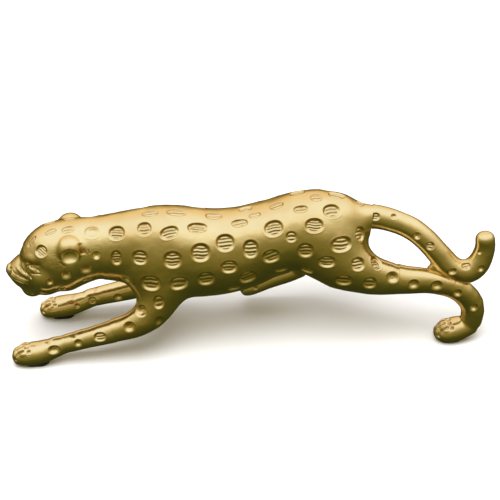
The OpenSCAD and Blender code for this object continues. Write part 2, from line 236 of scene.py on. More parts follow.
class Clay:
    """A skin's points, held as arrays while it is worked."""

    def __init__(self, mesh):
        self.mesh = mesh
        self.read()

    def read(self):
        """Takes the points, edges and normals from the mesh, with no painted shade yet."""
        mesh = self.mesh
        n = len(mesh.vertices)
        self.p = np.empty(n * 3)
        mesh.vertices.foreach_get("co", self.p)
        self.p = self.p.reshape(-1, 3)
        e = np.empty(len(mesh.edges) * 2, int)
        mesh.edges.foreach_get("vertices", e)
        self.e = e.reshape(-1, 2)
        # each point's share of the sum over its neighbours
        self.share = 1 / np.maximum(np.bincount(self.e.ravel(), minlength=n), 1)
        self.n = self.normals()
        # painted shade on each point: in the cuts, on the spots' walls and in the pricks
        self.painted_shade = np.zeros(n)
        # painted shade in the troughs between the chased ribs
        self.line = np.zeros(n)

    def normals(self):
        n = np.empty(len(self.p) * 3)
        self.mesh.vertices.foreach_set("co", self.p.ravel())
        self.mesh.update()
        self.mesh.vertex_normals.foreach_get("vector", n)
        return n.reshape(-1, 3)

    def relax(self, rounds, weight=1.0):
        """Draws each point towards its neighbours; weight is a number or one for each point."""
        a, b = self.e.T
        count = len(self.p)
        gain = 0.5 * np.broadcast_to(weight, count)
        for _ in range(rounds):
            for k in range(3):
                q = self.p[:, k]
                mean = (np.bincount(a, q[b], count) + np.bincount(b, q[a], count)) * self.share
                q += gain * (mean - q)
        self.n = self.normals()

    def soften(self, places, rounds):
        """Fillets around places, each given as a point and a radius."""
        weight = np.zeros(len(self.p))
        for place, radius in places:
            far = np.linalg.norm(self.p - place, axis=1) / radius
            weight = np.maximum(weight, 1 - smooth(0.55, 1.0, far))
        self.relax(rounds, weight)

    def refine(self, places):
        """Halves the edges around places, so that they take finer tooling."""
        bm = bmesh.new()
        bm.from_mesh(self.mesh)
        inside = np.zeros(len(self.p), bool)
        for place, radius in places:
            inside |= np.linalg.norm(self.p - place, axis=1) < radius
        edges = [e for e in bm.edges if inside[e.verts[0].index] and inside[e.verts[1].index]]
        bmesh.ops.subdivide_edges(bm, edges=edges, cuts=1, use_grid_fill=True)
        bm.to_mesh(self.mesh)
        bm.free()
        self.read()
        inside = np.zeros(len(self.p), bool)
        for place, radius in places:
            inside |= np.linalg.norm(self.p - place, axis=1) < radius + 1
        self.relax(4, inside.astype(float))

    def nearest(self, place):
        """The point of the skin nearest a place, and its normal there, evened over 3 mm."""
        far = np.linalg.norm(self.p - place, axis=1)
        i = far.argmin()
        around = np.linalg.norm(self.p - self.p[i], axis=1) < 3
        around &= self.n @ self.n[i] > 0.3
        n = self.n[around].mean(0)
        return self.p[i], n / np.linalg.norm(n)

    def uneven(self, amount, pitch):
        """Slow hand-worked waves over the surface."""
        wave = np.array([noise.noise(Vector(q)) for q in self.p / pitch])
        self.push(amount * wave)
        self.n = self.normals()

    def push(self, depth):
        """Moves each point out along its normal."""
        self.p += self.n * depth[:, None]

    def bump(self, place, radii, height):
        """A soft rise or hollow, out along the normals."""
        far = np.linalg.norm((self.p - place) / np.array(radii, float), axis=1)
        lift = height * (1 - smooth(0.0, 1.0, far))
        self.p += self.n * lift[:, None]

    def bumps(self, rows):
        """Rises and hollows, each on both sides of the animal."""
        for place, radii, height in rows:
            self.bump(place, radii, height)
            if place[1]:
                self.bump((place[0], -place[1], place[2]), radii, height)
        self.n = self.normals()

    def groove(self, points, width, depth, painted_shade=1.0, reach=4.0):
        """A cut along a line of places that fades at its ends, darkened with painted shade where
        it sinks in.
        """
        points = np.array(points, float)
        best = np.full(len(self.p), 1e9)
        along = np.zeros(len(self.p))
        legs = len(points) - 1
        for i in range(legs):
            a, b = points[i], points[i + 1]
            t = np.clip((self.p - a) @ (b - a) / ((b - a) @ (b - a)), 0, 1)
            far = np.linalg.norm(self.p - a - t[:, None] * (b - a), axis=1)
            nearer = far < best
            best = np.where(nearer, far, best)
            along = np.where(nearer, (i + t) / legs, along)
        # the line may run above or below the skin: its least distance there isn't counted
        close = best < reach
        if not close.any():
            return
        bins = np.clip((along * 12).astype(int), 0, 11)
        floor = np.array([best[close & (bins == k)].min() if (close & (bins == k)).any() else 0
                          for k in range(12)])
        lateral = np.sqrt(np.maximum(best ** 2 - floor[bins] ** 2, 0))
        cut = np.exp(-(lateral / width) ** 2) * close
        cut *= smooth(0, 0.18, along) * (1 - smooth(0.82, 1.0, along))
        self.p -= self.n * (cut * depth)[:, None]
        # painted shade in the cut, strongest along its middle
        if depth > 0:
            self.painted_shade = np.maximum(self.painted_shade, cut * painted_shade)

    def grooves(self, rows):
        """Cuts, each on both sides of the animal."""
        for points, width, depth in rows:
            self.groove(points, width, depth)
            self.groove([(x, -y, z) for x, y, z in points], width, depth)
        self.n = self.normals()

    def finish(self, name, nodes, material):
        """Turns the clay to metres and writes it out as a piece of the ornament."""
        mesh = self.mesh
        mesh.vertices.foreach_set("co", (self.p * MM).ravel())
        # the painted shade goes out as point attributes, which the gilt reads
        for label, values in (("recess_shade", self.painted_shade), ("line", self.line)):
            layer = mesh.attributes.new(label, "FLOAT", "POINT")
            layer.data.foreach_set("value", np.clip(values, 0, 1).astype(np.float32))
        mesh.update()
        mesh.name = name
        mesh.shade_smooth()
        obj = bpy.data.objects.new(name, mesh)
        bpy.context.scene.collection.objects.link(obj)
        mesh.materials.clear()
        mesh.materials.append(material)
        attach(obj, "root")
        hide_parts(*nodes)
        return obj


def part_at(clay, place, way, radius):
    """Cuts the skin off flat at a joint's plane, keeping what lies behind the way given."""
    bm = bmesh.new()
    bm.from_mesh(clay.mesh)
    place, way = Vector(place), Vector(way)
    near = {f for f in bm.faces if all((v.co - place).length < radius for v in f.verts)}
    around = {e for f in near for e in f.edges} | {v for f in near for v in f.verts}
    geom = list(near) + list(around)
    cut = bmesh.ops.bisect_plane(
        bm, geom=geom, plane_co=place, plane_no=way, clear_outer=True, dist=1e-5)
    rim = [g for g in cut["geom_cut"] if isinstance(g, bmesh.types.BMEdge)]
    bmesh.ops.holes_fill(bm, edges=[e for e in rim if e.is_boundary])
    for e in rim:
        if e.is_valid:
            e.smooth = False
    bm.to_mesh(clay.mesh)
    bm.free()


# ---- Spots ----
CLOSEST = 0.86  # least distance of two spots, as a share of their radii together
ASTRAY = 5  # a spot further than this from its place has found another limb
OVAL = 2.2  # how square an oval is: 2 is an ellipse
LIP = 0.06  # the raised edge that the punch throws up
TOP_DEEPER = 0.15  # a spot's top is this much deeper than its middle
RIB_HEIGHT = 0.36


def spot_frames(clay, rows, mirrored, vary=0.0):
    """Each spot's centre on the skin, its three directions and its sizes.

    A mirrored spot is also set on the far side, moved, turned and grown a little at random.
    """
    frames = []
    wanted = [(row, 1) for row in rows]
    if mirrored:
        wanted += [(row, -1) for row in rows if abs(row[0][1]) > 4]
    for (place, length, height, tilt, depth, lines), side in wanted:
        shift = RNG.uniform(-1, 1, 4) * (vary if side < 0 else 0)
        goal = np.array((place[0] + shift[0], place[1] * side, place[2] + shift[1]))
        centre, n = clay.nearest(goal)
        if side < 0:  # the far side has other limbs: leave out a spot that has no room there
            room = max(length, height) / 2
            crowded = any(np.linalg.norm(centre - f[0]) < CLOSEST * (room + max(f[4], f[5]))
                          for f in frames)
            if crowded or np.linalg.norm(centre - goal) > ASTRAY:
                continue
        along = np.array((1.0, 0, 0)) - n[0] * n
        along /= np.linalg.norm(along)
        up = np.cross(n, along)
        if up[2] < -1e-3 or (abs(up[2]) <= 1e-3 and up[1] < 0):
            up = -up
        a = math.radians(tilt + shift[2] * 6)
        along, up = along * math.cos(a) + up * math.sin(a), up * math.cos(a) - along * math.sin(a)
        grow = 1 + 0.06 * shift[3]
        frames.append((centre, n, along, up, length / 2 * grow, height / 2 * grow, depth, lines))
    return frames


def press(clay, frames):
    """Presses every spot: a bowl with a sloped wall and chased ribs across its floor, with painted
    shade on the wall and between the ribs.
    """
    cut = np.zeros(len(clay.p))
    for centre, n, along, up, la, lb, depth, lines in frames:
        d = clay.p - centre
        near = np.where(np.linalg.norm(d, axis=1) < 1.5 * max(la, lb))[0]
        near = near[clay.n[near] @ n > 0.15]
        d = d[near]
        a, b = d @ along, d @ up
        rho = (np.abs(a / la) ** OVAL + np.abs(b / lb) ** OVAL) ** (1 / OVAL)  # 1 at the rim
        high = b / lb
        inner = 0.66 if lines else 0.25
        wall = 1 - smooth(inner, 1.0, rho)
        here = depth * wall * (1 + TOP_DEEPER * np.clip(high, -1, 1))
        here = here - LIP * np.exp(-((rho - 1.05) / 0.06) ** 2)
        # painted shade on the bowl's wall: darkest on its upper side, under the rim, and a little
        # darker towards the head
        slope = np.exp(-((rho - 0.86) / 0.13) ** 2)
        painted_shade = slope * np.clip(0.45 + 0.75 * high - 0.2 * a / la, 0.05, 1)
        trough_shade = np.zeros(len(near))
        if lines:
            pitch = 1.5 * lb / lines * RNG.uniform(0.92, 1.1)
            wander = 0.16 * np.sin(a * RNG.uniform(0.6, 1.3) + RNG.uniform(0, 6.3))
            lean = a * RNG.uniform(-0.12, 0.12)
            phase = ((b + wander + lean) / pitch + lines / 2) % 1.0
            inside = (1 - smooth(0.6, 0.78, rho)) * (np.abs(b) < pitch * lines / 2 + 0.2)
            rib = 0.5 - 0.5 * np.cos(2 * math.pi * phase)
            here = here - RIB_HEIGHT * inside * rib
            # painted shade in the troughs between the ribs, stronger and weaker in a wave along
            # them
            mottle = 0.75 + 0.5 * np.sin(1.7 * b + RNG.uniform(0, 6.3))
            trough_shade = inside * smooth(0.66, 1.0, 1 - rib) * np.clip(mottle, 0.35, 1)
        cut[near] += here
        clay.painted_shade[near] = np.maximum(clay.painted_shade[near], painted_shade)
        clay.line[near] = np.maximum(clay.line[near], trough_shade)
    clay.push(-cut)
    clay.n = clay.normals()


def zones(frames):
    """The round places that the spots take up."""
    return [(f[0], 1.12 * max(f[4], f[5])) for f in frames]


# place, length, height, tilt in degrees, depth, chased lines
BODY_SPOTS = [
    # withers to loin, the upper row
    ((-52, -9, 71), 7.5, 7.5, 0, 1.1, 3), ((-40, -12, 70), 10, 6.5, 18, 1.1, 3),
    ((-26.5, -9.5, 70), 11, 6, 4, 1.1, 3), ((-13, -14.5, 64), 9.5, 9, 0, 1.2, 4),
    ((-5.5, -7, 70), 9, 5, 0, 0.9, 2), ((10, -13, 70), 10, 8.5, 10, 1.2, 4),
    ((19, -17, 67.5), 5.5, 5.5, 0, 0.9, 2), ((30, -15, 72), 9.5, 7.5, 0, 1.2, 4),
    ((24, -8, 77), 8, 4.5, 0, 0.9, 2), ((39, -9, 76), 9.5, 7.5, 8, 1.2, 3),
    # the flank
    ((-55, -17, 59), 8, 7.5, 0, 1.2, 3), ((-39, -19, 58.5), 9.5, 9, 0, 1.4, 4),
    ((-25.5, -17.5, 61), 10, 9.5, 0, 1.4, 4), ((-1.5, -17, 61), 8, 9.5, 0, 1.2, 4),
    ((8.5, -19, 57.5), 9, 7.5, 20, 1.4, 3), ((25, -19.5, 60), 8, 8, 0, 1.4, 3),
    ((42.5, -17, 61.5), 11.5, 8, 6, 1.4, 3), ((53, -12, 63.5), 6.5, 7.5, 0, 1.2, 3),
    ((-11.5, -19.5, 52.5), 8.5, 7, 0, 1.4, 3), ((35.5, -21.5, 54), 9, 6.5, 0, 1.4, 3),
    ((51, -20, 51), 7.5, 7, 0, 1.4, 3),
    # the lower flank
    ((-50, -19, 46), 10.4, 8.6, 0, 1.5, 3), ((-36.5, -21, 45.5), 9.6, 8, 0, 1.5, 2),
    ((-23, -20, 46.5), 9, 8.4, 0, 1.5, 3), ((-3, -18.5, 45), 9.4, 8.2, 22, 1.5, 3),
    ((44, -24, 43), 9, 7, 0, 1.4, 2), ((57, -24, 41), 7, 7, 0, 1.4, 2),
    ((61, -18, 50), 6, 7.5, 20, 1.2, 3), ((69, -22, 43), 7, 6.5, 0, 1.5, 0),
    ((-9, -17, 38), 7, 5, 0, 1.2, 2), ((14, -18, 48), 7, 5.5, 0, 1.2, 2),
    ((26, -19.5, 47), 7, 5, 0, 1.2, 2),
    # the shoulder and the foreleg's root
    ((-46.5, -23.5, 36), 5.8, 7.4, 0, 1.4, 2), ((-55.5, -22, 31), 6.4, 6.4, 0, 1.6, 0),
    ((-46.5, -24, 25), 4.8, 6.2, 0, 1.2, 0), ((-62, -24, 23), 6.5, 6, 0, 1.5, 0),
    # along the back
    ((-49, -1, 75), 9, 5, 0, 0.8, 2), ((-36, -1, 74), 11, 6, 0, 0.8, 2),
    ((-18, -1, 71.5), 9, 6, 0, 0.8, 2), ((-2, 3, 72.5), 7, 5, 0, 0.8, 2),
    ((2, -4.5, 73), 6.5, 4, 0, 0.8, 2), ((12.5, -2, 76.5), 8, 5.5, 0, 0.8, 2),
    ((24, 5, 78), 8, 6, 0, 0.8, 2), ((32, -2, 79), 6.5, 6, 0, 0.8, 2),
    ((43, 1, 78), 9, 6, 0, 0.8, 2), ((54, 1, 72), 5, 6, 0, 0.8, 2),
    # the neck
    ((-65.5, -9, 69), 8.5, 7.5, 0, 1.2, 4), ((-66, -15.5, 58.5), 5.5, 8, 0, 1.4, 4),
    ((-62, -15, 46), 6, 5, 0, 1.2, 0),
]
HEAD_SPOTS = [
    ((-102.4, -11, 62), 6.6, 6.2, -35, 1.1, 4), ((-97.5, -4.2, 68.5), 6.5, 3.6, 15, 0.6, 2),
    ((-105.6, -3.6, 62), 7, 3, 35, 0.6, 2), ((-88.9, -4.6, 69.7), 7, 4.6, 10, 0.6, 2),
    ((-77.5, -7, 69), 7.8, 6.8, 0, 0.9, 0), ((-75.8, -14, 60), 4.2, 4.6, 0, 1.4, 0),
    ((-91, -16, 50.5), 6, 6, 0, 1.5, 0), ((-81, -15, 52.4), 6.6, 5.6, 0, 1.5, 0),
    ((-99, -16, 47), 3.8, 3.8, 0, 1.1, 0), ((-94, -14.3, 40.5), 4.4, 4, 0, 0.9, 0),
    ((-81, -13.5, 45), 4.5, 3.6, 0, 0.9, 0),
]
LEFT_FORELEG_SPOTS = [
    ((-76.5, -24, 17.5), 6.5, 5, 0, 1.4, 2), ((-87.5, -23.6, 14), 4.4, 4.4, 0, 1.2, 0),
    ((-99.8, -24, 10.6), 6.6, 5, 0, 1.6, 0), ((-82, -14, 15), 5, 4.5, 0, 1.2, 0),
    ((-97, -13.5, 10.5), 5, 4.5, 0, 1.2, 0),
]
RIGHT_FORELEG_SPOTS = [
    ((-81, 14.2, 11.5), 4.2, 4.2, 0, 0.8, 3), ((-67.5, 13.8, 13.2), 5, 4.6, 0, 1.5, 0),
    ((-89, 13, 9), 3.2, 3, 0, 0.8, 0), ((-73, 24, 13), 5.5, 4.8, 0, 1.2, 0),
    ((-88, 24.4, 9), 5.5, 4.4, 0, 1.2, 0),
]
LEFT_HIND_SPOTS = [
    ((79.2, -22.6, 38.8), 6.2, 5.6, 0, 1.6, 0), ((91.1, -22.7, 37.4), 6.6, 5.6, 0, 1.6, 0),
    ((101.8, -23.2, 32.2), 5, 4.6, 0, 1.5, 0), ((111, -23.2, 22.4), 4.8, 4.6, 0, 1.5, 0),
    ((82, -10, 38.5), 6, 5, 0, 1.4, 0), ((95, -11.5, 36), 5.5, 5, 0, 1.4, 0),
    ((111, -12.8, 20), 4.6, 4.6, 0, 1.2, 0), ((108, -16.5, 26.5), 3, 2.4, 0, 0.5, 0),
]
RIGHT_HIND_SPOTS = [
    ((10, 24.3, 16), 5, 4.4, 0, 1.2, 0), ((22, 24, 20), 4.6, 4.4, 0, 1.2, 0),
]
TAIL_SPOTS = [
    ((61.5, -6.2, 69.4), 4.4, 4, 0, 1.2, 2),
    ((70.5, -6, 69), 3.4, 3.2, 0, 0.9, 0), ((81.4, -12, 60.5), 4, 4, 0, 1.4, 0),
    ((87.7, -15, 56), 4.2, 4.2, 0, 1.4, 2), ((98.5, -20.5, 43.6), 5.4, 3.6, 20, 1.4, 0),
    ((105.6, -18.8, 45.8), 4.6, 4, 0, 0.8, 2), ((112.9, -21, 45.2), 3.6, 3.6, 0, 1.2, 0),
    ((112.6, -17.6, 53), 2.4, 2.2, 0, 0.7, 0), ((81, 0, 61), 4, 4, 0, 1.1, 0),
    ((94, -7, 50), 4, 4, 0, 1.1, 0), ((106, -10.5, 41), 4.6, 4, 0, 1.1, 0),
]


# ---- Finishes ----
def nodes_of(name):
    """A new material, its node tree and its surface shader."""
    material = bpy.data.materials.new(name)
    material.use_nodes = True
    tree = material.node_tree
    return material, tree, tree.nodes["Principled BSDF"]


def add(tree, kind, inputs=None, **values):
    """Adds a node; an input is given as a number or a colour, or as a socket to join it to."""
    node = tree.nodes.new(kind)
    for key, value in values.items():
        setattr(node, key, value)
    for key, value in (inputs or {}).items():
        if isinstance(value, bpy.types.NodeSocket):
            tree.links.new(value, node.inputs[key])
        else:
            node.inputs[key].default_value = value
    return node


def gilt_brass():
    """Satin gilding over cast brass: fine grain, a tone clouded at random, and painted shade in
    the recesses and between the chased ribs.
    """
    material, tree, shader = nodes_of("gilt_brass")
    at = add(tree, "ShaderNodeTexCoord").outputs["Object"]
    recess_shade = add(tree, "ShaderNodeAttribute", attribute_name="recess_shade").outputs["Fac"]
    line = add(tree, "ShaderNodeAttribute", attribute_name="line").outputs["Fac"]
    cloud = add(tree, "ShaderNodeTexNoise", {"Vector": at, "Scale": 55.0, "Detail": 4.0})
    grain = add(tree, "ShaderNodeTexNoise", {"Vector": at, "Scale": 900.0, "Detail": 3.0})
    pits = add(tree, "ShaderNodeTexNoise", {"Vector": at, "Scale": 260.0, "Detail": 5.0})

    tone = add(tree, "ShaderNodeValToRGB", {"Fac": cloud.outputs["Fac"]})
    tone.color_ramp.elements[0].position, tone.color_ramp.elements[1].position = 0.3, 0.7
    tone.color_ramp.elements[0].color = (0.89, 0.68, 0.32, 1)
    tone.color_ramp.elements[1].color = (0.96, 0.80, 0.43, 1)
    # painted shade in brown on the cuts, the spots' walls and the pricks, as strong as the point
    # attribute says
    size = add(tree, "ShaderNodeMapRange", {"Value": recess_shade, "From Min": 0.15, "From Max": 1.0,
                                            "To Min": 0.0, "To Max": 0.75})
    recess_shaded = add(tree, "ShaderNodeMix", {"Factor": size.outputs["Result"],
                                          6: tone.outputs["Color"],
                                          7: (0.55, 0.25, 0.04, 1)}, data_type="RGBA")
    # painted shade, near black-brown, in the troughs between the chased ribs
    trough_shade = add(tree, "ShaderNodeMath", {0: line, 1: 0.7}, operation="MULTIPLY")
    trough_shaded = add(tree, "ShaderNodeMix", {"Factor": trough_shade.outputs[0], 6: recess_shaded.outputs[2],
                                        7: (0.16, 0.085, 0.02, 1)}, data_type="RGBA")
    tree.links.new(trough_shaded.outputs[2], shader.inputs["Base Color"])

    rough = add(tree, "ShaderNodeMapRange", {"Value": pits.outputs["Fac"], "From Min": 0.3,
                                             "From Max": 0.7, "To Min": 0.17, "To Max": 0.25})
    tree.links.new(rough.outputs["Result"], shader.inputs["Roughness"])
    beaten = add(tree, "ShaderNodeTexNoise", {"Vector": at, "Scale": 120.0, "Detail": 2.0})
    waves = add(tree, "ShaderNodeBump", {"Height": beaten.outputs["Fac"], "Strength": 0.35,
                                         "Distance": 0.0006})
    coarse = add(tree, "ShaderNodeBump", {"Height": pits.outputs["Fac"], "Strength": 0.4,
                                          "Distance": 0.0002, "Normal": waves.outputs["Normal"]})
    fine = add(tree, "ShaderNodeBump", {"Height": grain.outputs["Fac"], "Strength": 0.25,
                                        "Distance": 0.0001, "Normal": coarse.outputs["Normal"]})
    tree.links.new(fine.outputs["Normal"], shader.inputs["Normal"])
    shader.inputs["Metallic"].default_value = 1.0
    return material


def turned_metal(name, colour, mottle, roughness):
    """A machined fixing: faint turning marks and a clouded tone."""
    material, tree, shader = nodes_of(name)
    at = add(tree, "ShaderNodeTexCoord").outputs["Object"]
    cloud = add(tree, "ShaderNodeTexNoise", {"Vector": at, "Scale": 400.0, "Detail": 3.0})
    tone = add(tree, "ShaderNodeMix", {"Factor": cloud.outputs["Fac"], 6: (*colour, 1),
                                       7: (*mottle, 1)}, data_type="RGBA")
    tree.links.new(tone.outputs[2], shader.inputs["Base Color"])
    marks = add(tree, "ShaderNodeTexWave", {"Vector": at, "Scale": 1200.0, "Distortion": 1.5},
                bands_direction="Z")
    bump = add(tree, "ShaderNodeBump", {"Height": marks.outputs["Fac"], "Strength": 0.15,
                                        "Distance": 0.00005})
    tree.links.new(bump.outputs["Normal"], shader.inputs["Normal"])
    shader.inputs["Metallic"].default_value = 1.0
    shader.inputs["Roughness"].default_value = roughness
    return material


def pad_rubber():
    """Black rubber with a grey bloom."""
    material, tree, shader = nodes_of("pad_rubber")
    at = add(tree, "ShaderNodeTexCoord").outputs["Object"]
    bloom = add(tree, "ShaderNodeTexNoise", {"Vector": at, "Scale": 500.0, "Detail": 4.0})
    tone = add(tree, "ShaderNodeMix", {"Factor": bloom.outputs["Fac"], 6: (0.012, 0.012, 0.012, 1),
                                       7: (0.04, 0.038, 0.036, 1)}, data_type="RGBA")
    tree.links.new(tone.outputs[2], shader.inputs["Base Color"])
    grain = add(tree, "ShaderNodeTexNoise", {"Vector": at, "Scale": 2500.0, "Detail": 2.0})
    bump = add(tree, "ShaderNodeBump", {"Height": grain.outputs["Fac"], "Strength": 0.3,
                                        "Distance": 0.00005})
    tree.links.new(bump.outputs["Normal"], shader.inputs["Normal"])
    shader.inputs["Roughness"].default_value = 0.75
    return material


GILT = gilt_brass()
BRASS = turned_metal("insert_brass", (0.72, 0.5, 0.2), (0.6, 0.4, 0.16), 0.32)
STEEL = turned_metal("pin_steel", (0.56, 0.56, 0.57), (0.44, 0.44, 0.46), 0.3)
RUBBER = pad_rubber()


# ---- Castings ----
def joint(stations, i):
    """A joint's place and heading, at one of the drawn stations."""
    s = refined(stations)
    return s[STEPS * i][:3], heading(s, STEPS * i)


def torso_casting():
    """The body with the roots of the limbs, parted at its six joints; it isn't hollow inside."""
    bm = bmesh.new()
    loft(bm, SPINE[NECK - 2:], end_dome=5, sides=48)
    loft(bm, LEFT_FORELEG[:6])
    loft(bm, RIGHT_FORELEG[:6])
    loft(bm, LEFT_HIND_LEG[:5])
    loft(bm, RIGHT_THIGH)
    loft(bm, TAIL[:4])
    balls(bm, [
        ((-49, -13, 48), (14, 7.5, 17), (0, 20, 0)),
        ((37, -12, 55), (18, 10, 16), (0, -10, 0)),
    ])
    clay = Clay(merged(bm, TORSO_VOXEL, "torso"))
    clay.soften([
        ((-46, -16, 38), 20), ((-38, 16, 38), 20), ((-40, 0, 28), 16), ((52, -15, 48), 19),
        ((33, 15, 44), 16), ((52, 0, 62), 16), ((-49, -16, 55), 18), ((-49, 16, 55), 18),
        ((36, -18, 58), 24), ((36, 18, 58), 24),
    ], 260)
    clay.relax(12)
    clay.bump((8, 0, 74), (18, 16, 8), -0.8)
    clay.uneven(0.35, 13)
    clay.uneven(0.1, 5)
    place, way = joint(SPINE, NECK)
    part_at(clay, place, -way, 45)
    for stations, i, radius in ((LEFT_FORELEG, 4, 17), (RIGHT_FORELEG, 4, 17),
                                (LEFT_HIND_LEG, 3, 21), (RIGHT_THIGH, 3, 11), (TAIL, 2, 14)):
        place, way = joint(stations, i)
        part_at(clay, place, way, radius)
    clay.read()
    frames = spot_frames(clay, BODY_SPOTS, mirrored=True, vary=1.0)
    clay.refine(zones(frames))
    press(clay, frames)
    return clay.finish("torso_casting", ["torso"], GILT)


# the muzzle and skull up to the neck joint, and the cap of the brow over them
HEAD_FORM = [
    (-120.2, 0, 45.4, 3, 2.4), (-119, 0, 44.9, 4.8, 4.2), (-116.4, 0, 44.2, 7, 7.2),
    (-112.8, 0, 43.6, 8.8, 10), (-108, 0, 44.2, 10.6, 12), (-103, 0, 46.8, 13.4, 16),
    (-96, 0, 50, 16.2, 18.6), *SPINE[6:NECK + 3],
]
BROW = [
    (-113, 0, 52.6, 3, 1.6), (-112, 0, 53.2, 5.6, 2.4), (-110, 0, 54.3, 8.6, 3.8),
    (-107, 0, 55.3, 11.2, 6), (-104, 0, 55.4, 13, 7.6), (-101, 0, 55.3, 14.4, 9.4),
    (-96, 0, 54, 15.4, 13.8),
]
EYE = (-108, -11.9, 51.6)
MUZZLE_CUTS = [
    ([(-115.4, -5.8, 52), (-112.2, -9.2, 49), (-107.4, -12.8, 46.4)], 0.32, 0.9),
    ([(-118.6, -4.6, 48), (-114.8, -8, 45.6), (-109.4, -11.4, 43.8)], 0.32, 0.9),
    ([(-119.4, -4.4, 44.6), (-116.5, -6.8, 42.8), (-111.6, -9.6, 41.4)], 0.3, 0.8),
]
MUZZLE_STRIPS = [
    ([(-117, -6, 50.4), (-113.4, -9, 47.6), (-108, -12.6, 45.2)], 0.9, -0.5),
    ([(-119, -4.6, 45.8), (-115.8, -7.6, 43.7), (-110.6, -10.8, 42.2)], 0.9, -0.5),
]


def head_casting():
    """The head and neck, with the ears, the eyes, the muzzle's cuts and the stippled cheeks."""
    bm = bmesh.new()
    loft(bm, HEAD_FORM, start_dome=1.0, sides=48)
    loft(bm, BROW, start_dome=0.6, sides=48)
    balls(bm, [
        ((-88.4, -9.8, 61.6), (7.2, 6.8, 7.1), (0, 0, 0)),         # ear
        ((-101, -10.5, 46), (8, 6, 8), (0, 0, 0)),                 # cheek
        ((-115.2, -3.8, 44), (4, 3.8, 4.6), (0, 0, 0)),            # muzzle pad
        ((-109, 0, 33.8), (5.8, 7.6, 5.4), (0, 0, 0)),             # chin
        ((-102, -4.5, 38.2), (8.5, 6.6, 6.2), (0, 0, 0)),          # jaw
    ])
    clay = Clay(merged(bm, HEAD_VOXEL, "head", [
        ((-88.4, -18.2, 60.6), (5.4, 6, 4.8), (4, 0, 0)),          # the ear's cup
    ]))
    clay.soften([((-113, 0, 40), 10), ((-106, 0, 34), 13), ((-101, -12, 44), 12),
                 ((-101, 12, 44), 12), ((-97, 0, 66), 11), ((-97, 0, 36), 16)], 120)
    for side in (-1, 1):
        clay.soften([((-95.4, 11 * side, 63.6), 5), ((-88, 2.6 * side, 68.5), 4.5),
                     ((-88, 14.5 * side, 53.6), 4), ((-81, 10.6 * side, 64), 3.5),
                     ((-109, 5 * side, 30), 5)], 80)
    clay.relax(5)
    clay.refine([((-115, -8, 46.5), 7.5), ((-115, 8, 46.5), 7.5),
                 (EYE, 4.5), ((EYE[0], -EYE[1], EYE[2]), 4.5)])
    clay.uneven(0.2, 8)
    place, way = joint(SPINE, NECK)
    part_at(clay, place, way, 45)
    clay.read()
    # the brow, the eye's hollow and the eye
    clay.bumps([
        ((-103.6, -12.4, 59.8), (5.4, 4, 4), 0.8),
        ((-108.6, -11.6, 53.2), (5.6, 3, 2.6), -0.5),
        ((EYE[0], EYE[1] + 0.2, EYE[2]), (3.2, 2.6, 1.6), 0.5),
    ])
    x, y, z = EYE
    # the cuts below are darkened with painted shade; the raised strips are not
    clay.grooves([
        ([(x - 4.4, y + 2.6, z - 0.2), (x - 2.4, y + 1, z + 1.5), (x, y - 0.2, z + 1.9),
          (x + 2.4, y - 1, z + 1.4), (x + 4.8, y - 2.2, z)], 0.34, 0.5),
        ([(x - 4.4, y + 2.6, z - 0.4), (x - 2.4, y + 0.8, z - 1.6), (x, y - 0.4, z - 1.9),
          (x + 2.4, y - 1.2, z - 1.4), (x + 6.4, y - 2.8, z - 0.6)], 0.34, 0.45),
        ([(-114, 0, 53.8), (-112.4, -5, 54), (-109.6, -8.4, 54.2), (-106, -10.8, 54.4),
          (-102, -13.6, 55.6)], 0.9, 0.6),
    ])
    clay.grooves(MUZZLE_STRIPS)
    clay.grooves(MUZZLE_CUTS)
    clay.grooves([
        ([(-120.6, -2.4, 47.8), (-119.6, -3.8, 48.4), (-118.6, -4.6, 48)], 0.5, 0.8),
        ([(-120.2, -0.2, 42.6), (-118.4, -3.4, 40.6), (-116, -6, 38.8), (-112.6, -8.4, 37.8)],
         0.45, 0.5),
        ([(-93.5, -15.6, 58), (-91, -16.5, 55.4)], 0.4, 0.3),
        ([(-81.8, -12.6, 63.4), (-80.2, -13.4, 60)], 0.35, 0.25),
        ([(-79.8, -12.4, 63), (-78.8, -13, 60.6)], 0.3, 0.2),
    ])
    clay.grooves([([(-92.8, -13.6, 62.4), (-88.4, -14, 65), (-84.2, -13.6, 62.4)], 1.5, 0.3)])
    clay.grooves([([(-83.6, -11.6, 66.4), (-82.6, -13.6, 63.6), (-82.2, -14.6, 60.6)], 1.3, 0.6)])
    stipple(clay, [((-95.5, -14.6, 58.6), 5.4), ((-95.5, 14.6, 58.6), 5.4)], 0.16)
    frames = spot_frames(clay, HEAD_SPOTS, mirrored=True, vary=0.8)
    press(clay, frames)
    return clay.finish("head_casting", ["head"], GILT)


def stipple(clay, places, depth):
    """Small pricks of the punch around a place."""
    noise_at = RNG.normal(0, 1, len(clay.p))
    a, b = clay.e.T
    count = len(clay.p)
    evened = np.bincount(a, noise_at[b], count) + np.bincount(b, noise_at[a], count)
    evened *= clay.share
    weight = np.zeros(count)
    for place, radius in places:
        far = np.linalg.norm(clay.p - place, axis=1) / radius
        weight = np.maximum(weight, 1 - smooth(0.4, 1, far))
    pricks = smooth(0.3, 1.0, evened) * weight
    clay.push(-depth * pricks)
    # painted shade in the pricks
    clay.painted_shade = np.maximum(clay.painted_shade, 0.6 * pricks)
    clay.n = clay.normals()


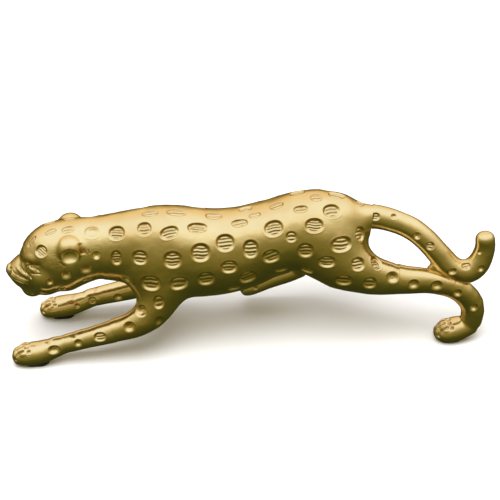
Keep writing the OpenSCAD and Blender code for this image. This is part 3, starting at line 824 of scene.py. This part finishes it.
def toes(clay, tip, way, width, height, top):
    """Four toes on a paw: cuts between them, and a claw's pit on each."""
    tip, way = np.array(tip, float), np.array(way, float)
    across = np.array((0, 1.0, 0))
    for k in (-1, 0, 1):
        side = across * width * 0.48 * k
        start = tip + side - way * 0.5 + np.array((0, 0, -height * 0.25))
        mid = tip + side * 1.05 - way * 2.2 + np.array((0, 0, height * 0.5))
        back = tip + side * 1.1 - way * 5.6 + np.array((0, 0, top))
        # each cut between the toes is darkened with painted shade
        clay.groove([start, mid, back], 0.6, 0.9)
    for k in (-1.5, -0.5, 0.5, 1.5):
        side = across * width * 0.48 * k
        inset = 0.9 * abs(k)
        # a short cut behind each toe, darkened with painted shade
        clay.groove([tip + side * 1.1 - way * (inset + 6.2 + x) + np.array((0, 0, top + 0.4))
                     for x in (-1.1, 0, 1.1)], 0.8, 0.7, 0.8)
        clay.bump(tip + side - way * inset + np.array((0, 0, 0.4)), (1.3, 1.1, 1.2), -0.7)
        clay.bump(tip + side * 1.02 - way * (inset + 3.2) + np.array((0, 0, height * 0.7)),
                  (2.4, 1.7, 2.2), 0.5)
    clay.n = clay.normals()


def limb_casting(name, parts, at, spots, sole=None, paw=None, seat=None, creases=(),
                 fill=()):
    """A limb from its joint to its end; a paw, a sole and an insert's seat are made if given."""
    bm = bmesh.new()
    for stations, start_dome, end_dome in parts:
        loft(bm, stations, start_dome, end_dome)
    balls(bm, fill, mirrored=False)
    clay = Clay(merged(bm, LIMB_VOXEL, name))
    clay.relax(20)
    clay.uneven(0.25, 9)
    stations, i = at
    place, way = joint(stations, i)
    part_at(clay, place, -way, 34)
    if sole is not None:
        part_at(clay, (0, 0, sole), (0, 0, -1), 400)
    clay.read()
    if paw:
        toes(clay, *paw)
    for points, width, depth in creases:
        # the creases are darkened with painted shade
        clay.groove(points, width, depth, painted_shade=2 * depth)
    frames = spot_frames(clay, spots, mirrored=False)
    press(clay, frames)
    piece = clay.finish(name + "_casting", [name], GILT)
    if seat:
        bore(piece, *seat)
    return piece


def bore(piece, x, y):
    """Bores the seat of an insert up into a sole; the drill starts 2 mm under the sole."""
    bm = bmesh.new()
    bmesh.ops.create_cone(bm, cap_ends=True, segments=48, radius1=INSERT_R, radius2=INSERT_R,
                          depth=INSERT_DEEP + 2,
                          matrix=Matrix.Translation((x, y, PAD_T + INSERT_DEEP / 2 - 1)))
    bmesh.ops.scale(bm, vec=(MM, MM, MM), verts=bm.verts)
    tool = as_object(bm, "bore")
    cut_away(piece, tool)
    done = settled(piece)
    piece.modifiers.clear()
    piece.data = done
    bpy.data.objects.remove(tool)


# where the tail lies on the hock
WEB = [(84.5, -14.4, 44), (89.5, -16.8, 42.4), (94, -18.8, 41), (99, -21, 39.6), (105, -22, 39)]
torso_casting()
head_casting()
limb_casting("left_foreleg", [(LEFT_FORELEG[2:], None, 3), (LEFT_FOREPAW, None, 3.2)],
             (LEFT_FORELEG, 4), LEFT_FORELEG_SPOTS, PAD_T,
             ((-120, -19, 5), (-1, 0, 0), 6, 5.4, 5.5), (-109, -19),
             [([(-91, -13, 15.5), (-90, -18, 17), (-89, -22, 15.5)], 1.4, 0.22),
              ([(-103, -14, 10.5), (-102.4, -18.6, 12.5), (-101.4, -22, 11.5)], 1.5, 0.22)])
limb_casting("right_foreleg", [(RIGHT_FORELEG[2:], None, 3), (RIGHT_FOREPAW, None, 3.2)],
             (RIGHT_FORELEG, 4), RIGHT_FORELEG_SPOTS, PAD_T,
             ((-108, 19, 5), (-1, 0, 0), 6, 5.4, 5.5), (-97, 19),
             [([(-79.5, 13.4, 12.5), (-79, 18, 16), (-78.6, 22, 14.5)], 1.4, 0.2),
              ([(-91.6, 14, 9.5), (-91, 18.6, 12.5), (-90.4, 22, 11.5)], 1.5, 0.2)])
limb_casting("left_hind_leg", [(LEFT_HIND_LEG[1:], None, 4), (LEFT_HIND_PAW, 3, 2.6)],
             (LEFT_HIND_LEG, 3), LEFT_HIND_SPOTS, PAD_T,
             ((93.6, -18, 4.6), (-1, 0, 0), 6, 5, 5.5), (101.5, -18),
             [(WEB, 1.5, 0.25),
              ([(108.6, -11.6, 12), (107.4, -15, 13.4), (107, -20, 12.4)], 1.4, 0.35)])
limb_casting("right_hind_leg", [(RIGHT_THIGH[2:], None, 3), (RIGHT_HIND_FOOT, 3, 2.6)],
             (RIGHT_THIGH, 3), RIGHT_HIND_SPOTS, None,
             ((-3.4, 19.4, 11), (-1, 0, 0.3), 5, 4.4, 5))
limb_casting("tail", [(TAIL, None, 3.6)], (TAIL, 2), TAIL_SPOTS, creases=[(WEB, 1.5, 0.25)],
             fill=[((90.6, -14.6, 41.6), (3.6, 2.6, 3.4), (0, 0, 0)),
                   ((93.6, -16, 40.6), (3.6, 2.6, 2.6), (0, 0, 0))])


# ---- Fixings, whose shapes are the frame's own ----
def refinish(words, material):
    """Gives a finish to the frame's own pieces whose names hold one of the words."""
    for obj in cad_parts.values():
        if any(word in obj.name for word in words):
            for slot in obj.material_slots:
                slot.material = material


refinish(("pin", "dowel"), STEEL)
refinish(("insert", "plugs"), BRASS)
refinish(("pad",), RUBBER)


# ---- Studio ----
def studio():
    """A sky in steps of olive, gold and cream, a pale floor and one large soft lamp."""
    world = bpy.data.worlds.new("studio")
    bpy.context.scene.world = world
    world.use_nodes = True
    tree = world.node_tree
    for node in list(tree.nodes):
        tree.nodes.remove(node)
    way = add(tree, "ShaderNodeTexCoord").outputs["Generated"]
    z = add(tree, "ShaderNodeSeparateXYZ", {0: way}).outputs["Z"]
    y = add(tree, "ShaderNodeSeparateXYZ", {0: way}).outputs["Y"]
    above = add(tree, "ShaderNodeMapRange", {"Value": z, "From Min": -0.1, "From Max": 0.35,
                                             "To Min": 0.0, "To Max": 0.34}).outputs["Result"]
    lean = add(tree, "ShaderNodeMath", {0: y, 1: above}, operation="MULTIPLY").outputs[0]
    height = add(tree, "ShaderNodeMath", {0: z, 1: 0.94, 2: lean},
                 operation="MULTIPLY_ADD").outputs[0]
    level = add(tree, "ShaderNodeMapRange", {"Value": height, "From Min": -1.0, "From Max": 1.0})
    ramp = add(tree, "ShaderNodeValToRGB", {"Fac": level.outputs["Result"]})
    levels = [(-0.95, (0.026, 0.033, 0.009)), (-0.42, (0.070, 0.070, 0.014)),
              (-0.08, (0.150, 0.136, 0.036)), (0.10, (0.28, 0.25, 0.12)),
              (0.36, (0.49, 0.44, 0.30)), (0.60, (0.79, 0.78, 0.74)), (0.84, (0.78, 0.82, 0.92))]
    stops = ramp.color_ramp.elements
    while len(stops) < len(levels):
        stops.new(0.5)
    for stop, (at, colour) in zip(stops, levels):
        stop.position = (at + 1) / 2
        stop.color = (*colour, 1)
    behind = add(tree, "ShaderNodeMapRange", {"Value": y, "From Min": 0.25, "From Max": 0.9})
    warm = add(tree, "ShaderNodeMix", {"Factor": behind.outputs["Result"], 6: (1, 1, 1, 1),
                                       7: (0.92, 0.74, 0.5, 1)}, data_type="RGBA")
    tinted = add(tree, "ShaderNodeMix", {"Factor": 1.0, 6: ramp.outputs["Color"],
                                         7: warm.outputs[2]}, data_type="RGBA",
                 blend_type="MULTIPLY")
    soft = add(tree, "ShaderNodeBackground", {"Color": tinted.outputs[2], "Strength": 1.25})
    plain = add(tree, "ShaderNodeBackground", {"Color": (0.95, 0.95, 0.95, 1), "Strength": 1.0})
    path = add(tree, "ShaderNodeLightPath")
    mix = add(tree, "ShaderNodeMixShader", {0: path.outputs["Is Camera Ray"], 1: soft.outputs[0],
                                            2: plain.outputs[0]})
    add(tree, "ShaderNodeOutputWorld", {"Surface": mix.outputs[0]})

    bm = bmesh.new()
    bmesh.ops.create_grid(bm, x_segments=1, y_segments=1, size=3.0)
    mesh = bpy.data.meshes.new("floor")
    bm.to_mesh(mesh)
    bm.free()
    floor = bpy.data.objects.new("floor", mesh)
    bpy.context.scene.collection.objects.link(floor)
    material, tree, shader = nodes_of("pale_floor")
    shader.inputs["Base Color"].default_value = (0.9, 0.9, 0.9, 1)
    shader.inputs["Roughness"].default_value = 0.9
    mesh.materials.append(material)
    floor.visible_glossy = False

    data = bpy.data.lights.new("top_light", "AREA")
    data.energy, data.size = 9.0, 0.7
    lamp = bpy.data.objects.new("top_light", data)
    lamp.location = (-0.1, -0.25, 0.9)
    lamp.rotation_euler = lamp.location.to_track_quat("Z", "Y").to_euler()
    lamp.visible_glossy = False
    bpy.context.scene.collection.objects.link(lamp)
    bpy.context.scene.view_settings.view_transform = "Standard"


def camera():
    """Looks down on the left side from 0.7 m, with a long lens."""
    azimuth, elevation = math.radians(-5), math.radians(35)
    target = Vector((0, 0, 48.8 * MM))
    back = Vector((math.sin(azimuth) * math.cos(elevation),
                   -math.cos(azimuth) * math.cos(elevation), math.sin(elevation)))
    data = bpy.data.cameras.new("camera")
    data.lens, data.sensor_width = 100.8, 36.0
    data.clip_start = 0.01
    cam = bpy.data.objects.new("camera", data)
    cam.location = target + back * 0.7
    cam.rotation_euler = back.to_track_quat("Z", "Y").to_euler()
    bpy.context.scene.collection.objects.link(cam)
    bpy.context.scene.camera = cam


studio()
camera()
